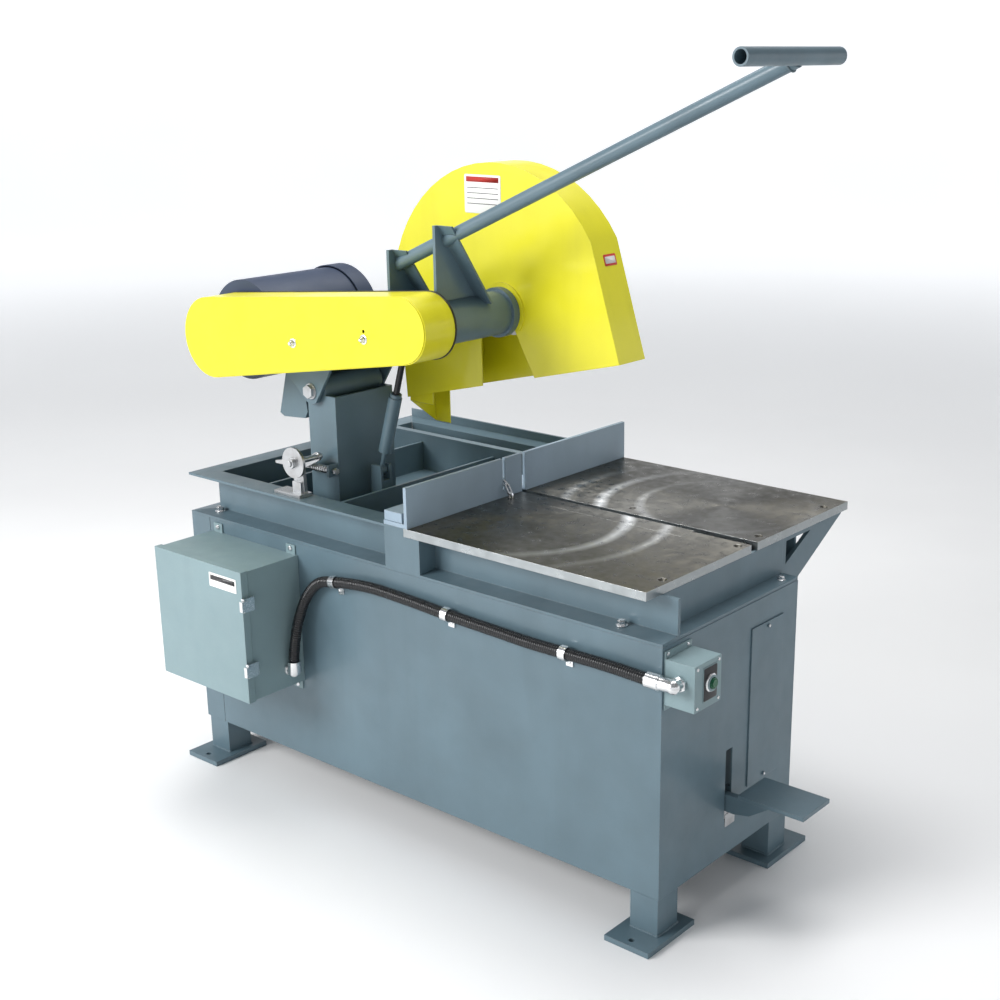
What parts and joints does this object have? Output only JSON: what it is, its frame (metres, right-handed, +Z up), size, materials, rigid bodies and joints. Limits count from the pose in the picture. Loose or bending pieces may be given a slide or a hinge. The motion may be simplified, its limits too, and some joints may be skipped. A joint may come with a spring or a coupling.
{
  "type": "abrasive chop saw",
  "caption": "Floor-standing abrasive chop saw: cabinet base and slotted steel table with fence, and a pivoting belt-driven head with a long handle, guarded wheel, motor and damper.",
  "frame": {"origin": "centre of the whole machine on the floor, under the middle of its bounding box", "axes": "+Z up; +X toward the operator, along the handle; -Y toward the conduit and enclosure side, +Y toward the wheel side"},
  "size_m": [1.717, 0.998, 1.8025],
  "materials": {
    "frame_paint": "satin blue-grey enamel",
    "guard_paint": "satin yellow enamel",
    "motor_paint": "dark slate-blue enamel",
    "fence_paint": "satin light grey enamel",
    "enclosure_paint": "satin grey-green enamel",
    "table_steel": "ground flat",
    "shaft_steel": "turned",
    "fitting_steel": "bright plated",
    "conduit_jacket": "ribbed black jacket",
    "button_plastic": "dark green",
    "sheave_iron": "machined",
    "belt_rubber": "matt black",
    "damper_black": "satin black"
  },
  "bodies": {
    "base": {"cabinet_shell": "frame_paint", "spark_tray": "frame_paint", "leg_near_front": "frame_paint", "leg_near_rear": "frame_paint", "leg_far_front": "frame_paint", "leg_far_rear": "frame_paint", "access_cover": "frame_paint", "rail_near": "frame_paint", "rail_far": "frame_paint", "rail_rear": "frame_paint", "rail_front": "frame_paint", "rail_mid": "frame_paint", "pedestal_bearer": "frame_paint", "gusset_front": "frame_paint", "gusset_rear": "frame_paint", "pedestal": "frame_paint", "pedal_bracket": "frame_paint", "table_plate_near": "table_steel", "table_plate_far": "table_steel", "table_strip": "table_steel", "fence_near": "fence_paint", "fence_far": "fence_paint", "fence_bar": "fence_paint", "hold_down_chain": "shaft_steel", "tension_bracket": "shaft_steel", "tension_spring": "shaft_steel", "enclosure_box": "enclosure_paint", "button_box": "enclosure_paint", "conduit": "conduit_jacket", "elbow_low": "fitting_steel", "elbow_high": "fitting_steel", "clamp_rear": "fitting_steel", "clamp_middle": "fitting_steel", "clamp_front": "fitting_steel"},
    "door": {"enclosure_door": "enclosure_paint"},
    "latch_upper": {"door_latch_upper": "shaft_steel"},
    "latch_lower": {"door_latch_lower": "shaft_steel"},
    "button": {"start_button": "button_plastic"},
    "pedal": {"foot_pedal": "frame_paint"},
    "disc": {"tension_disc": "shaft_steel"},
    "head": {"head_frame": "frame_paint", "pivot_shaft": "shaft_steel", "spindle_housing": "frame_paint", "bracket_front": "frame_paint", "bracket_rear": "frame_paint", "handle_arm": "frame_paint", "handle_grip": "frame_paint", "belt_guard": "guard_paint", "belt_guard_back": "guard_paint", "wheel_guard": "guard_paint", "guard_chute": "guard_paint", "motor_body": "motor_paint", "motor_cowl": "motor_paint", "drive_belt": "belt_rubber"},
    "spindle": {"spindle_shaft": "shaft_steel", "wheel_flange": "motor_paint", "driven_sheave": "sheave_iron"},
    "rotor": {"motor_sheave": "sheave_iron"},
    "damper_barrel": {"damper_cylinder": "frame_paint"},
    "damper_piston": {"damper_rod": "damper_black"}
  },
  "joints": [
    {"name": "head_swing", "type": "hinge", "parent": "base", "child": "head", "pos_m": [-0.4795, -0.073, 1.016], "axis": [0, 1, 0], "range_deg": [0, 22.5], "stiffness_Nm_per_rad": 120, "springref_deg": -57.3},
    {"name": "spindle_spin", "type": "hinge", "parent": "head", "child": "spindle", "pos_m": [-0.0635, 0.093, 1.221], "axis": [0, 1, 0], "continuous": true},
    {"name": "motor_spin", "type": "hinge", "parent": "head", "child": "rotor", "pos_m": [-0.7275, -0.239, 1.138], "axis": [0, 1, 0], "continuous": true},
    {"name": "damper_swing", "type": "hinge", "parent": "base", "child": "damper_barrel", "pos_m": [-0.3715, -0.069, 0.812], "axis": [0, 1, 0], "range_deg": [0, 10.85]},
    {"name": "damper_slide", "type": "slide", "parent": "damper_barrel", "child": "damper_piston", "axis": [0.2972, 0, 0.9548], "range_m": [-0.0701, 0]},
    {"name": "pedal_tread", "type": "hinge", "parent": "base", "child": "pedal", "pos_m": [0.3485, -0.053, 0.232], "axis": [0, 1, 0], "range_deg": [-12, 0]},
    {"name": "button_press", "type": "slide", "parent": "base", "child": "button", "axis": [1, 0, 0], "range_m": [-0.004, 0], "stiffness_N_per_m": 500, "springref_m": 0.002},
    {"name": "door_hinge", "type": "hinge", "parent": "base", "child": "door", "pos_m": [-0.751, -0.467, 0.475], "axis": [0, 0, 1], "range_deg": [-110, 0]},
    {"name": "upper_latch", "type": "hinge", "parent": "door", "child": "latch_upper", "pos_m": [-0.4115, -0.49, 0.562], "axis": [0, 0, 1], "range_deg": [-60, 0]},
    {"name": "lower_latch", "type": "hinge", "parent": "door", "child": "latch_lower", "pos_m": [-0.4115, -0.49, 0.396], "axis": [0, 0, 1], "range_deg": [-60, 0]},
    {"name": "disc_turn", "type": "hinge", "parent": "base", "child": "disc", "pos_m": [-0.4485, -0.285, 0.861], "axis": [0, 1, 0], "range_deg": [-18, 25]}
  ],
  "couplings": [
    {"joint": "spindle_spin", "follows": "motor_spin", "ratio": 1.2},
    {"joint": "damper_swing", "follows": "head_swing", "ratio": 0.4818},
    {"joint": "damper_slide", "follows": "head_swing", "m_per_rad": -0.1783}
  ]
}
